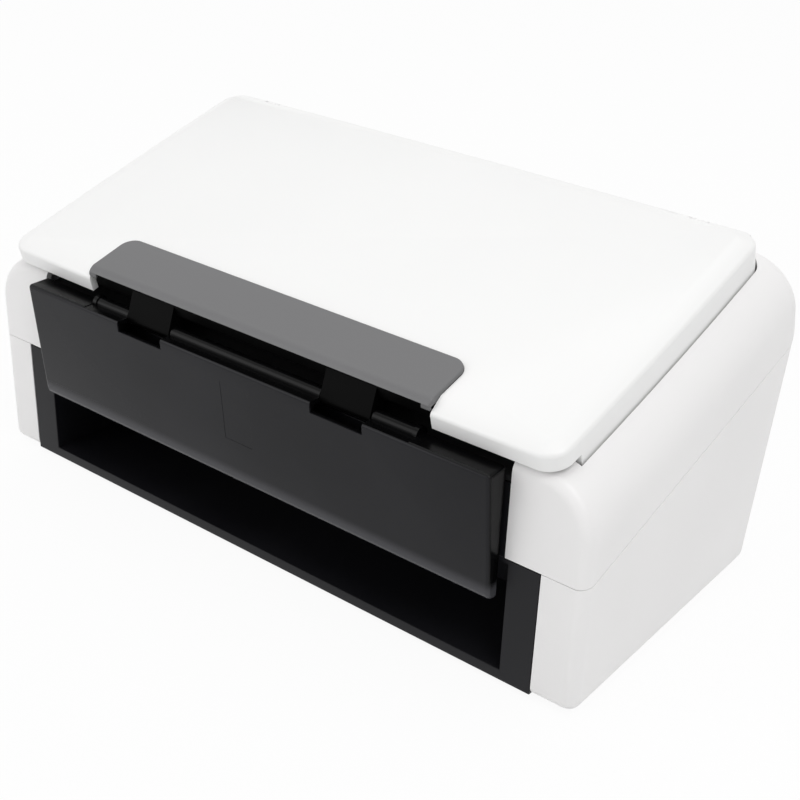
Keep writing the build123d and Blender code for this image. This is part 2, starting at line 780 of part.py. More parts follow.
# Front frame: black bay for the finished sheets, and the panel behind the flap
frame_top = parting_height - parting_gap
exit_side = 7.0
slot_half = plate_x - exit_side
panel_half = flap_bay_width / 2 - fit_gap
panel_top = 82.6
with BuildPart() as front_frame:
    half = frame_width / 2
    block(Plane.XY.offset(foot_height), -half, half, front_y, front_y + frame_lap, frame_top - foot_height)
    fillet(front_frame.edges().filter_by(Axis.X).sort_by(Axis.Z)[:2].sort_by(Axis.Y)[0], frame_edge)
    for side in (-1, 1):
        low, high = sorted((side * (bay_width / 2 + frame_wall), side * (half - frame_wall)))
        block(
            Plane.XY.offset(bay_floor), low, high, front_y + frame_wall, front_y + bay_depth,
            frame_top - frame_wall - bay_floor, Mode.SUBTRACT,
        )
    half = bay_width / 2
    block(
        Plane.XY.offset(bay_floor - frame_wall), -half - frame_wall, half + frame_wall, front_y + frame_wall,
        front_y + bay_depth + frame_wall, frame_top - bay_floor + frame_wall,
    )
    block(
        Plane.XY.offset(bay_floor), -half, half, front_y - 1, front_y + bay_depth,
        bay_ceiling - bay_floor, Mode.SUBTRACT,
    )
    block(
        Plane.XY.offset(exit_slot_low), -slot_half, slot_half, front_y + bay_depth - 1,
        front_y + bay_depth + frame_wall + 1, exit_slot_high - exit_slot_low, Mode.SUBTRACT,
    )
    block(
        Plane.XY.offset(bay_ceiling), -panel_half, panel_half, front_y + panel_recess,
        front_y + panel_recess + frame_wall, panel_top - bay_ceiling,
    )
save(front_frame, "front_frame")

# Places of the rollers on the paper path
roller_x = (-75.0, -25.0, 25.0, 75.0)
roller_width = 18.0
pick_x = (-13.0, 13.0)
pick_width = 20.0
scan_width, scan_height, scan_side = 18.0, 12.0, 0.3
scan_half = cheek_x - scan_side
glass_width, glass_thickness = 14.0, 1.0
lower_face, upper_face = -paper_gap / 2, paper_gap / 2
pick_centre = path_point(pick_at, -pick_radius - nip_gap / 2)
separation_centre = path_point(pick_at, separation_radius + nip_gap / 2)
feed_centre = path_point(feed_at, -feed_radius - nip_gap / 2)
feed_idler_centre = path_point(feed_at, feed_idler_radius + nip_gap / 2)
exit_centre = path_point(exit_at, -exit_radius - nip_gap / 2)
exit_idler_centre = path_point(exit_at, exit_idler_radius + nip_gap / 2)


def path_block(x_low, x_high, near, far, low, high, mode=Mode.ADD):
    """Block along the paper path from near to far, between two heights over it."""
    block(path_plane.offset(low), x_low, x_high, -far, -near, high - low, mode)


def roller_windows(places, length, distance, radius, low, high):
    """Cuts the windows through which rollers reach the sheet."""
    sunk = radius + nip_gap / 2 - paper_gap / 2 - guide_thickness
    reach = sqrt(radius**2 - sunk**2) + roller_margin
    half = length / 2 + roller_margin
    for x in places:
        path_block(x - half, x + half, distance - reach, distance + reach, low, high, Mode.SUBTRACT)


# Lower guide: plate under the sheet, with tabs to the side plates
guide_start, guide_end = -2.0, 104.0
hatch_start = 4.0
hatch_gap = 0.6
scan_window = scan_width / 2 + fit_gap
with BuildPart() as lower_guide:
    half = guide_width / 2
    low, high = lower_face - guide_thickness, lower_face
    path_block(-half, half, hatch_start, guide_end, low, high)
    half = opening_width / 2 - hatch_gap
    path_block(-half, half, guide_start, hatch_start, low, high)
    for near, far in ((6, 18), (64, 84)):
        path_block(-plate_x, plate_x, near, far, low, high)
    roller_windows(pick_x, pick_width, pick_at, pick_radius, low - 1, high + 1)
    roller_windows(roller_x, roller_width, feed_at, feed_radius, low - 1, high + 1)
    roller_windows(roller_x, roller_width, exit_at, exit_radius, low - 1, high + 1)
    half = scan_half + fit_gap
    path_block(-half, half, scan_at - scan_window, scan_at + scan_window, low - 1, high + 1, Mode.SUBTRACT)
save(lower_guide, "lower_guide")

# Hatch: inner cover with the upper guide and the cheeks that carry the idlers
hatch_lead = 3.0
hatch_rear = path_in[0] - hatch_lead
cheek_step = 3.0
cheek_front, cheek_rear = 60.0, hatch_rear - cheek_step
cheek_high, cheek_low, cheek_low_at = 7.0, 14.0, 88.0
cheek_lap = 0.5
hatch_top = deck_drop - 0.2
hatch_end = 103.0
trunnion_radius = 3.0
trunnion_at = (62.0, 91.0)
trunnion_centre = (front_y + trunnion_at[0], trunnion_at[1])
with BuildPart() as hatch:
    half = opening_width / 2 - hatch_gap
    block(
        lid_level(deck_drop + deck_thickness), -half, half, opening_front + hatch_gap, hatch_rear,
        deck_drop + deck_thickness - hatch_top,
    )
    path_block(-cheek_x, cheek_x, hatch_start, hatch_end, upper_face, upper_face + guide_thickness)
    for inside in (-cheek_x - cheek_thickness, cheek_x):
        slab(
            inside, inside + cheek_thickness,
            [
                path_point(hatch_start, upper_face), path_point(hatch_end, upper_face),
                path_point(hatch_end, cheek_high), path_point(cheek_low_at, cheek_low),
                lid_point(cheek_front, deck_drop + deck_thickness - cheek_lap),
                lid_point(cheek_rear, deck_drop + deck_thickness - cheek_lap),
            ],
        )
    low, high = upper_face - 1, upper_face + guide_thickness + 1
    roller_windows(pick_x, pick_width, pick_at, separation_radius, low, high)
    roller_windows(roller_x, roller_width, feed_at, feed_idler_radius, low, high)
    roller_windows(roller_x, roller_width, exit_at, exit_idler_radius, low, high)
    path_block(
        -cheek_x, cheek_x, scan_at - scan_window, scan_at + scan_window, low, high, Mode.SUBTRACT
    )
    reach = cheek_x + cheek_thickness + 1
    for centre in (separation_centre, feed_idler_centre, exit_idler_centre):
        rod(-reach, reach, centre, idler_shaft_radius + running_clearance, Mode.SUBTRACT)
    for inside in (-plate_x - plate_thickness, cheek_x + 1):
        rod(inside, inside + plate_x + plate_thickness - cheek_x - 1, trunnion_centre, trunnion_radius)
save(hatch, "hatch")

# Scan bars: the two long image sensors, each with a glass strip towards the sheet
for label, sign in (("rear", -1), ("front", 1)):
    near, far = scan_at - scan_width / 2, scan_at + scan_width / 2
    with BuildPart() as bar:
        ends = sorted((sign * upper_face, sign * (upper_face + scan_height)))
        path_block(-scan_half, scan_half, near, far, *ends)
        half = glass_width / 2
        seat = sorted((sign * (upper_face - 1), sign * (upper_face + glass_thickness)))
        path_block(-scan_half + 2, scan_half - 2, scan_at - half, scan_at + half, *seat, Mode.SUBTRACT)
    save(bar, f"scan_bar_{label}")
    with BuildPart() as glass:
        ends = sorted((sign * upper_face, sign * (upper_face + glass_thickness)))
        half = glass_width / 2 - 0.1
        path_block(-scan_half + 2.1, scan_half - 2.1, scan_at - half, scan_at + half, *ends)
    save(glass, f"scan_glass_{label}")

# Shafts and rollers
shaft_right = plate_x + 3.0
shaft_left = pulley_x + belt_width + 1.5
collar_width = 1.0
rubber = 3.0


def shaft(label, centre, radius, low, high, shoulder):
    """Round shaft with a collar just inside each bearing."""
    with BuildPart() as piece:
        rod(low, high, centre, radius)
        for x in (-shoulder, shoulder - collar_width):
            rod(x, x + collar_width, centre, radius + collar)
    save(piece, label)


def rollers(label, places, length, centre, radius, bore):
    """Row of equal rollers on one shaft."""
    with BuildPart() as piece:
        for x in places:
            rod(x - length / 2, x + length / 2, centre, radius)
        rod(places[0] - length, places[-1] + length, centre, bore, Mode.SUBTRACT)
    save(piece, label)


bush_shoulder = plate_x - bush_flange - side_clearance
shaft("pick_shaft", pick_centre, shaft_radius, -shaft_left, shaft_right, bush_shoulder)
shaft("feed_shaft", feed_centre, shaft_radius, -shaft_left, shaft_right, bush_shoulder)
shaft("exit_shaft", exit_centre, shaft_radius, -shaft_left, shaft_right, bush_shoulder)
cheek_end = cheek_x + cheek_thickness + 1
cheek_shoulder = cheek_x - side_clearance
for label, centre in (
    ("separation_shaft", separation_centre),
    ("feed_idler_shaft", feed_idler_centre),
    ("exit_idler_shaft", exit_idler_centre),
):
    shaft(label, centre, idler_shaft_radius, -cheek_end, cheek_end, cheek_shoulder)
rollers("pick_rollers", pick_x, pick_width, pick_centre, pick_radius, shaft_radius)
rollers("feed_rollers", roller_x, roller_width, feed_centre, feed_radius, shaft_radius)
rollers("exit_rollers", roller_x, roller_width, exit_centre, exit_radius, shaft_radius)
rollers(
    "separation_rollers", pick_x, pick_width, separation_centre, separation_radius, idler_shaft_radius
)
rollers("feed_idlers", roller_x, roller_width, feed_idler_centre, feed_idler_radius, idler_shaft_radius)
rollers("exit_idlers", roller_x, roller_width, exit_idler_centre, exit_idler_radius, idler_shaft_radius)

# Side plates of folded steel, with flanges on the floor
flange_width = 9.5
flange_front, flange_rear = 56.0, 104.0
motor_centre = (front_y + motor_at[0], motor_at[1])
motor_pilot = 6.0
driven = (pick_centre, feed_centre, exit_centre)
plate_front, plate_rear = 53.0, 122.0
plate_waist, plate_shoulder = (136.0, 76.0), (132.0, 111.0)
plate_top, plate_brow, plate_chin = (118.0, 113.0), (60.0, 97.5), 60.0
plate_corners = (
    (plate_front, floor_top), (plate_rear, floor_top), plate_waist, plate_shoulder, plate_top,
    plate_brow, (plate_front, plate_chin),
)
for side, label in ((-1, "side_frame_left"), (1, "side_frame_right")):
    with BuildPart() as frame:
        ends = sorted((side * plate_x, side * (plate_x + plate_thickness)))
        slab(*ends, [(front_y + depth, height) for depth, height in plate_corners])
        low, high = sorted((side * plate_x, side * (plate_x + flange_width)))
        block(
            Plane.XY.offset(floor_top), low, high, front_y + flange_front, front_y + flange_rear,
            plate_thickness,
        )
        for centre in driven:
            rod(ends[0] - 1, ends[1] + 1, centre, bush_radius, Mode.SUBTRACT)
        rod(ends[0] - 1, ends[1] + 1, trunnion_centre, trunnion_radius + running_clearance, Mode.SUBTRACT)
        if side < 0:
            rod(ends[0] - 1, ends[1] + 1, motor_centre, motor_pilot + 0.1, Mode.SUBTRACT)
        for depth in (screw_front, screw_rear):
            with BuildSketch(Plane.XY.offset(floor_top)) as hole:
                with Locations((side * screw_x, front_y + depth)):
                    Circle(screw_radius + running_clearance)
            extrude(hole.sketch, amount=2 * plate_thickness, mode=Mode.SUBTRACT)
    save(frame, label)

with BuildPart() as shaft_bushes:
    for side in (-1, 1):
        for centre in driven:
            ends = sorted((side * plate_x, side * (plate_x + plate_thickness + 0.6)))
            rod(*ends, centre, bush_radius)
            ends = sorted((side * plate_x, side * (plate_x - bush_flange)))
            rod(*ends, centre, bush_flange_radius)
    for centre in driven:
        rod(-plate_x - 5, plate_x + 5, centre, shaft_radius + running_clearance, Mode.SUBTRACT)
save(shaft_bushes, "shaft_bushes")

# Drive: motor, pulleys and one belt on the left side
motor_shaft_radius = 1.5
motor_shaft_sunk = 15.0
pulley_flange, pulley_flange_rise = 0.6, 2.0
with BuildPart() as motor:
    rod(-plate_x, -plate_x + motor_length, motor_centre, motor_radius)
    rod(-plate_x - plate_thickness, -plate_x, motor_centre, motor_pilot)
    rod(
        -plate_x - 5, -plate_x + motor_shaft_sunk + 1, motor_centre,
        motor_shaft_radius + running_clearance, Mode.SUBTRACT,
    )
save(motor, "motor")

with BuildPart() as motor_shaft:
    rod(-shaft_left, -plate_x + motor_shaft_sunk, motor_centre, motor_shaft_radius)
save(motor_shaft, "motor_shaft")

for label, centre, radius, bore in (
    ("motor_pulley", motor_centre, motor_pulley_radius, motor_shaft_radius),
    ("pick_pulley", pick_centre, pick_pulley_radius, shaft_radius),
    ("feed_pulley", feed_centre, drive_pulley_radius, shaft_radius),
    ("exit_pulley", exit_centre, drive_pulley_radius, shaft_radius),
):
    with BuildPart() as pulley:
        rod(-pulley_x - belt_width, -pulley_x, centre, radius)
        for x in (-pulley_x - belt_width - pulley_flange, -pulley_x):
            rod(x, x + pulley_flange, centre, radius + pulley_flange_rise)
        rod(-shaft_left - 1, -pulley_x + 2, centre, bore, Mode.SUBTRACT)
    save(pulley, label)

with BuildPart() as drive_belt:
    for extra, mode in ((belt_clearance + belt_thickness, Mode.ADD), (belt_clearance, Mode.SUBTRACT)):
        with BuildSketch(Plane.YZ.offset(-pulley_x - belt_width + fit_gap)) as loop:
            for centre, radius in (
                (motor_centre, motor_pulley_radius),
                (exit_centre, drive_pulley_radius),
                (feed_centre, drive_pulley_radius),
                (pick_centre, pick_pulley_radius),
            ):
                with Locations(centre):
                    Circle(radius + extra)
            make_hull()
        extrude(loop.sketch, amount=belt_width - 2 * fit_gap, mode=mode)
save(drive_belt, "drive_belt")

# Main board with its chips, and the two sockets at its rear edge
chip_height = 1.4
processor = (0, board_rear - 26, 16, 16)
memory = (34, board_rear - 30, 12, 10)
motor_driver = (70, board_rear - 24, 10, 14)
regulator = (-26, board_rear - 18, 8, 8)
port_face = base_depth + 1.2
with BuildPart() as main_board:
    block(
        Plane.XY.offset(board_height), board_left, board_right, front_y + board_front,
        front_y + board_rear, board_thickness,
    )
    for x, depth, across, along in (processor, memory, motor_driver, regulator):
        block(
            Plane.XY.offset(port_base), x - across / 2, x + across / 2, front_y + depth - along / 2,
            front_y + depth + along / 2, chip_height,
        )
save(main_board, "main_board")

socket_length = 14.0
socket_depth = 9.0
jack_bore, jack_pin = 3.2, 1.0
usb_bore_width, usb_bore_height = 8.6, 8.0
usb_tongue_width, usb_tongue_height = 5.6, 3.2
with BuildPart() as power_jack:
    face_y = front_y + port_face
    block(
        Plane.XY.offset(port_base), jack_x - jack_width / 2, jack_x + jack_width / 2,
        face_y - socket_length, face_y, jack_height,
    )
    for radius, reach, mode in ((jack_bore, socket_depth, Mode.SUBTRACT), (jack_pin, socket_depth - 1, Mode.ADD)):
        with BuildSketch(Plane.XZ.offset(-face_y + socket_depth)) as bore:
            with Locations((jack_x, port_base + jack_height / 2)):
                Circle(radius)
        extrude(bore.sketch, amount=-reach, mode=mode)
save(power_jack, "power_jack")

with BuildPart() as usb_port:
    block(
        Plane.XY.offset(port_base), usb_x - usb_width / 2, usb_x + usb_width / 2,
        face_y - socket_length, face_y, usb_height,
    )
    for across, tall, reach, mode in (
        (usb_bore_width, usb_bore_height, socket_depth, Mode.SUBTRACT),
        (usb_tongue_width, usb_tongue_height, socket_depth - 1, Mode.ADD),
    ):
        with BuildSketch(Plane.XZ.offset(-face_y + socket_depth)) as bore:
            with Locations((usb_x, port_base + usb_height / 2)):
                Rectangle(across, tall)
        extrude(bore.sketch, amount=-reach, mode=mode)
save(usb_port, "usb_port")

# Feet and screws under the base
with BuildPart() as feet:
    for x in (-foot_x, foot_x):
        for depth in (foot_front, foot_rear):
            with BuildSketch() as disc:
                with Locations((x, front_y + depth)):
                    Circle(foot_radius)
            extrude(disc.sketch, amount=foot_height + foot_recess)
save(feet, "feet")

screw_head_height = 1.5
with BuildPart() as chassis_screws:
    for x in (-screw_x, screw_x):
        for depth in (screw_front, screw_rear):
            with Locations((x, front_y + depth, foot_height + running_clearance)):
                least = (Align.CENTER, Align.CENTER, Align.MIN)
                Cone(screw_head_radius - fit_gap, screw_radius, screw_head_height, align=least)
                Cylinder(screw_radius, wall + 2 * plate_thickness, align=least)
save(chassis_screws, "chassis_screws")
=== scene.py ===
import json
from math import cos, radians, sin

import bmesh
import bpy
from mathutils import Matrix, Vector


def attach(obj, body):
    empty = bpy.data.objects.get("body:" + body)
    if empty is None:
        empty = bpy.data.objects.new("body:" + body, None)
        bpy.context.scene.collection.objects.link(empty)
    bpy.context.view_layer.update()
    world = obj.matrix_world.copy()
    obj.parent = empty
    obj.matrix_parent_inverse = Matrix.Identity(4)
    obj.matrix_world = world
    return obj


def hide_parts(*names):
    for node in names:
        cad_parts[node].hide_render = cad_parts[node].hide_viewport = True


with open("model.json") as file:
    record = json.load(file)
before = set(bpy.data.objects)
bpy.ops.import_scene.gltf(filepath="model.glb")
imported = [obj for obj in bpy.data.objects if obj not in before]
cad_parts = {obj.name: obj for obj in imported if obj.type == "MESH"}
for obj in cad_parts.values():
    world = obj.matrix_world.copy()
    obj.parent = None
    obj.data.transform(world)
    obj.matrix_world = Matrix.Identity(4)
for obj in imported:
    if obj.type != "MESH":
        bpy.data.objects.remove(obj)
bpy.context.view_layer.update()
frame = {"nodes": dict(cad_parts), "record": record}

nodes = frame["nodes"]
owners = {
    node: body for body, members in frame["record"]["behaviour"]["bodies"].items() for node in members
}
slope = radians(15.7)
lidOrigin = Vector((0, -0.07395, 0.1021))
lidUp = Vector((0, -sin(slope), cos(slope)))
frontY = -0.07005
sharpAngle = radians(28)
print("frame loaded,", len(nodes), "nodes")


def aboveLid(place):
    # how far a place stands above the cover's top plane
    return (place - lidOrigin).dot(lidUp)


# finishes

class Wire:
    # one output socket; sums with numbers or other wires become Math nodes
    def __init__(self, finish, socket):
        self.finish, self.socket = finish, socket

    def maths(self, operation, first, second):
        return self.finish.node("ShaderNodeMath", {"operation": operation}, {0: first, 1: second})

    def __add__(self, other):
        return self.maths("ADD", self, other)

    def __sub__(self, other):
        return self.maths("SUBTRACT", self, other)

    def __rsub__(self, other):
        return self.maths("SUBTRACT", other, self)

    def __mul__(self, other):
        return self.maths("MULTIPLY", self, other)

    __radd__ = __add__
    __rmul__ = __mul__

    def ramp(self, low, high):
        # 0 below low, 1 above high, smooth between
        return self.finish.node(
            "ShaderNodeMapRange", {"interpolation_type": "SMOOTHSTEP"},
            {"Value": self, "From Min": low, "From Max": high},
        )


patchLooks = {
    "clouds": {"scale": 14, "detail": 3, "low": 0.3, "high": 0.7},
    "speckle": {"scale": 2600, "detail": 1, "low": 0.35, "high": 0.75},
    "scratches": {"scale": 900, "detail": 3, "low": 0.3, "high": 0.7},
    "dust": {"scale": 160, "detail": 4, "low": 0.45, "high": 0.75},
    "smear": {"scale": 300, "detail": 3, "low": 0.4, "high": 0.8},
}


class Finish:
    # a material under construction round its Principled shader
    def __init__(self, name, slot, **constants):
        self.slot = slot
        self.material = bpy.data.materials.new(name)
        self.material.use_nodes = True
        self.tree = self.material.node_tree
        self.shader = self.tree.nodes["Principled BSDF"]
        for socket, value in constants.items():
            self.shader.inputs[socket.replace("_", " ")].default_value = value

    def node(self, kind, settings=None, values=None, output=0):
        made = self.tree.nodes.new(kind)
        for name, value in (settings or {}).items():
            setattr(made, name, value)
        for key, value in (values or {}).items():
            self.feed(made.inputs[key], value)
        return Wire(self, made.outputs[output])

    def feed(self, socket, value):
        if isinstance(value, Wire):
            self.tree.links.new(value.socket, socket)
        else:
            socket.default_value = value

    def place(self, scale=(1, 1, 1)):
        coords = self.node("ShaderNodeTexCoord", output="Object")
        return self.node("ShaderNodeMapping", {}, {"Vector": coords, "Scale": scale})

    def axis(self, name):
        coords = self.node("ShaderNodeTexCoord", output="Object")
        return self.node("ShaderNodeSeparateXYZ", {}, {0: coords}, name)

    def noise(self, scale, detail, stretch=(1, 1, 1)):
        return self.node(
            "ShaderNodeTexNoise", {}, {"Vector": self.place(stretch), "Scale": scale, "Detail": detail}
        )

    def patches(self, name, stretch=(1, 1, 1)):
        # soft-edged patches, from 0 to 1
        look = patchLooks[name]
        return self.noise(look["scale"], look["detail"], stretch).ramp(look["low"], look["high"])

    def blend(self, amount, first, second):
        colours = [(*colour, 1) if isinstance(colour, tuple) else colour for colour in (first, second)]
        values = {"Factor": amount, 6: colours[0], 7: colours[1]}
        return self.node("ShaderNodeMix", {"data_type": "RGBA"}, values, 2)

    def colour(self, value):
        self.feed(self.shader.inputs["Base Color"], value)

    def rough(self, value):
        self.feed(self.shader.inputs["Roughness"], value)

    def relief(self, height, distance, strength=0.6):
        bump = self.node(
            "ShaderNodeBump", {}, {"Height": height, "Distance": distance, "Strength": strength}, "Normal"
        )
        self.feed(self.shader.inputs["Normal"], bump)


def mouldedPlastic(name, slot, tone, shade, gloss, grainSize, grainDepth, specular=0.5):
    # moulded plastic: fine spark-eroded grain, faint clouding of tone and gloss
    finish = Finish(name, slot, Specular_IOR_Level=specular)
    clouds = finish.patches("clouds")
    speckle = finish.patches("speckle")
    finish.colour(finish.blend(clouds * 0.7 + speckle * 0.3, tone, shade))
    finish.rough(gloss[0] + clouds * (gloss[1] - gloss[0]) + speckle * 0.03)
    finish.relief(finish.noise(1 / grainSize, 2), grainDepth)
    return finish


plastics = {
    "shellWhite": {
        "slot": "white_shell", "tone": (0.868, 0.86, 0.858), "shade": (0.848, 0.84, 0.838),
        "gloss": (0.36, 0.44), "grainSize": 0.0006, "grainDepth": 0.00002,
    },
    "coverWhite": {
        "slot": "white_shell", "tone": (0.875, 0.875, 0.87), "shade": (0.86, 0.86, 0.855),
        "gloss": (0.3, 0.36), "grainSize": 0.0005, "grainDepth": 0.00001,
    },
    "frameBlack": {
        "slot": "black_frame", "tone": (0.006, 0.006, 0.0075), "shade": (0.009, 0.009, 0.011),
        "gloss": (0.34, 0.42), "grainSize": 0.0005, "grainDepth": 0.00003, "specular": 0.19,
    },
    "insideBlack": {
        "slot": "black_frame", "tone": (0.01, 0.01, 0.0105), "shade": (0.014, 0.014, 0.0145),
        "gloss": (0.42, 0.52), "grainSize": 0.0007, "grainDepth": 0.00005, "specular": 0.3,
    },
    # black plastic made darker still and almost without gloss: painted shade for the bracket under the grip's
    # overhang
    "bracketPaintedShade": {
        "slot": "black_frame", "tone": (0.0012, 0.0012, 0.0012), "shade": (0.002, 0.002, 0.002),
        "gloss": (0.35, 0.45), "grainSize": 0.0007, "grainDepth": 0.00003, "specular": 0.04,
    },
    "gripGrey": {
        "slot": "grip_grey", "tone": (0.131, 0.131, 0.134), "shade": (0.143, 0.143, 0.147),
        "gloss": (0.42, 0.5), "grainSize": 0.0004, "grainDepth": 0.00003,
    },
    "buttonGrey": {
        "slot": "button_grey", "tone": (0.42, 0.42, 0.43), "shade": (0.46, 0.46, 0.47),
        "gloss": (0.35, 0.42), "grainSize": 0.0004, "grainDepth": 0.00002,
    },
    "idlerCream": {
        "slot": "idler_plastic", "tone": (0.66, 0.65, 0.6), "shade": (0.7, 0.69, 0.65),
        "gloss": (0.3, 0.4), "grainSize": 0.0005, "grainDepth": 0.00001,
    },
    "pulleyWhite": {
        "slot": "pulley_plastic", "tone": (0.74, 0.74, 0.71), "shade": (0.78, 0.78, 0.75),
        "gloss": (0.3, 0.4), "grainSize": 0.0005, "grainDepth": 0.00001,
    },
    "socketBlack": {
        "slot": "socket_black", "tone": (0.015, 0.015, 0.015), "shade": (0.02, 0.02, 0.02),
        "gloss": (0.3, 0.4), "grainSize": 0.0004, "grainDepth": 0.00002,
    },
    "sensorBlack": {
        "slot": "sensor_black", "tone": (0.012, 0.012, 0.012), "shade": (0.018, 0.018, 0.018),
        "gloss": (0.45, 0.55), "grainSize": 0.0004, "grainDepth": 0.00002,
    },
}
finishes = {name: mouldedPlastic(name, **look) for name, look in plastics.items()}


def metal(name, slot, tone, shade, gloss, stretch):
    # drawn or rolled metal: long fine scratches along one direction
    finish = Finish(name, slot, Metallic=1.0)
    lines = finish.patches("scratches", stretch)
    finish.colour(finish.blend(lines, tone, shade))
    finish.rough(gloss[0] + lines * (gloss[1] - gloss[0]))
    finish.relief(lines, 0.000008, 0.5)
    return finish


metals = {
    "plateSteel": {
        "slot": "sheet_steel", "tone": (0.56, 0.57, 0.58), "shade": (0.66, 0.67, 0.68),
        "gloss": (0.32, 0.48), "stretch": (1, 1, 0.06),
    },
    "shaftSteel": {
        "slot": "shaft_steel", "tone": (0.62, 0.62, 0.63), "shade": (0.72, 0.72, 0.73),
        "gloss": (0.16, 0.26), "stretch": (1, 0.2, 0.2),
    },
    "socketSteel": {
        "slot": "socket_steel", "tone": (0.6, 0.6, 0.61), "shade": (0.7, 0.7, 0.71),
        "gloss": (0.22, 0.34), "stretch": (0.1, 1, 1),
    },
    "bushBrass": {
        "slot": "bush_brass", "tone": (0.62, 0.44, 0.2), "shade": (0.7, 0.52, 0.26),
        "gloss": (0.28, 0.4), "stretch": (0.2, 1, 1),
    },
    "motorCan": {
        "slot": "motor_steel", "tone": (0.36, 0.36, 0.37), "shade": (0.44, 0.44, 0.45),
        "gloss": (0.3, 0.42), "stretch": (0.15, 1, 1),
    },
}
finishes |= {name: metal(name, **look) for name, look in metals.items()}


def softRubber(name, slot, tone, shade, grooves=0.0):
    # rubber: matt, a little dusty, with fine ground grooves round a roller
    finish = Finish(name, slot, Specular_IOR_Level=0.35)
    dust = finish.patches("dust")
    finish.colour(finish.blend(dust, tone, shade))
    finish.rough(0.6 + dust * 0.2)
    height = finish.noise(1800, 2) * 0.4
    if grooves:
        height = height + finish.node(
            "ShaderNodeTexWave", {"wave_type": "BANDS", "bands_direction": "X"},
            {"Vector": finish.place(), "Scale": grooves, "Distortion": 0.0},
        )
    finish.relief(height, 0.0001)
    return finish


rubbers = {
    "rollerRubber": {
        "slot": "roller_rubber", "tone": (0.06, 0.06, 0.065), "shade": (0.11, 0.11, 0.11), "grooves": 180,
    },
    "footRubber": {"slot": "foot_rubber", "tone": (0.03, 0.03, 0.03), "shade": (0.05, 0.05, 0.05)},
    "beltRubber": {"slot": "belt_rubber", "tone": (0.02, 0.02, 0.02), "shade": (0.035, 0.035, 0.035)},
}
finishes |= {name: softRubber(name, **look) for name, look in rubbers.items()}

# flap colours: face is the smoked plastic, edge is painted shade for the top and rims, and the lower-edge
# colour is a painted highlight
flapLook = {
    "face": (0.0165, 0.0165, 0.019), "edge": (0.002, 0.002, 0.0022), "band": (0.07, 0.07, 0.077),
    "low": 0.0369, "high": 0.0897, "lowProud": 0.0055, "highProud": 0.0109,
    "bandStart": 0.0035, "bandEnd": 0.0085, "faceStart": -0.0009, "faceEnd": -0.0002,
}


def smokedPlastic():
    # the flap: a smoked face, with a painted highlight towards its lower edge and painted shade that turns
    # its top and rims near black
    look = flapLook
    finish = Finish("flapDark", "flap_grey", Specular_IOR_Level=0.13)
    height = finish.axis("Z")
    lean = (look["highProud"] - look["lowProud"]) / (look["high"] - look["low"])
    proud = (frontY - look["lowProud"] + look["low"] * lean) - finish.axis("Y") - height * lean
    # behind the front face the colour falls to painted shade, the shadow under the lid
    face = proud.ramp(look["faceStart"], look["faceEnd"])
    # painted highlight along the lower edge, where the curled lip catches the overhead light
    band = 1 - height.ramp(look["low"] + look["bandStart"], look["low"] + look["bandEnd"])
    clouds = finish.patches("clouds")
    panel = finish.blend(clouds * 0.3, look["face"], look["edge"])
    finish.colour(finish.blend(band * 0.8, finish.blend(face, look["edge"], panel), look["band"]))
    finish.rough(0.2 + clouds * 0.06)
    finish.relief(finish.noise(2000, 2), 0.00001)
    return finish


boardLook = {
    "lacquer": (0.015, 0.12, 0.05), "track": (0.05, 0.22, 0.1), "chip": (0.015, 0.015, 0.017),
    "chipStart": 0.0107, "chipEnd": 0.0108, "trackScale": 90.0,
}


def boardFinish():
    # circuit board: green lacquer over copper lines, black chips where it stands higher
    look = boardLook
    finish = Finish("boardLacquer", "board_green")
    lines = finish.node(
        "ShaderNodeTexBrick", {"offset": 0.5},
        {"Vector": finish.place(), "Scale": look["trackScale"], "Mortar Size": 0.03, "Mortar Smooth": 0.2}, 1,
    )
    high = finish.axis("Z").ramp(look["chipStart"], look["chipEnd"])
    finish.colour(finish.blend(high, finish.blend(lines, look["lacquer"], look["track"]), look["chip"]))
    finish.rough(0.28 + high * 0.25)
    finish.relief(lines * (1 - high) + finish.noise(1500, 2) * 0.2, 0.00005)
    return finish


def glassFinish():
    # the sensors' glass: clear, faintly wiped
    finish = Finish(
        "sensorGlass", "sensor_glass", Base_Color=(0.9, 0.95, 0.94, 1), IOR=1.5, Transmission_Weight=0.9
    )
    finish.rough(0.03 + finish.patches("smear", (0.1, 1, 1)) * 0.06)
    return finish


finishes |= {"flapDark": smokedPlastic(), "boardLacquer": boardFinish(), "sensorGlass": glassFinish()}
print("finishes made")


# pieces: CAD forms with their edges eased and their curves smooth

def softenRim(mesh, low, high, rear, side, top, width, segments):
    # rounds the cover's outer rim, where its chamfered top meets its sides, as far as its rear corners
    def isRim(edge):
        tilts = [face.normal.dot(lidUp) for face in edge.link_faces]
        return (
            len(tilts) == 2 and edge.calc_face_angle(0) > sharpAngle
            and min(tilts) > side and max(tilts) > top
            and all(low < aboveLid(end.co) < high and end.co.y < rear for end in edge.verts)
        )

    rim = [edge for edge in mesh.edges if isRim(edge)]
    bmesh.ops.bevel(
        mesh, geom=rim, offset=width, segments=segments, affect="EDGES", profile=0.5, material=-1,
        clamp_overlap=False,
    )
    print("rim edges rounded:", len(rim))


weld = {"gap": 0.000002, "bend": radians(0.05)}


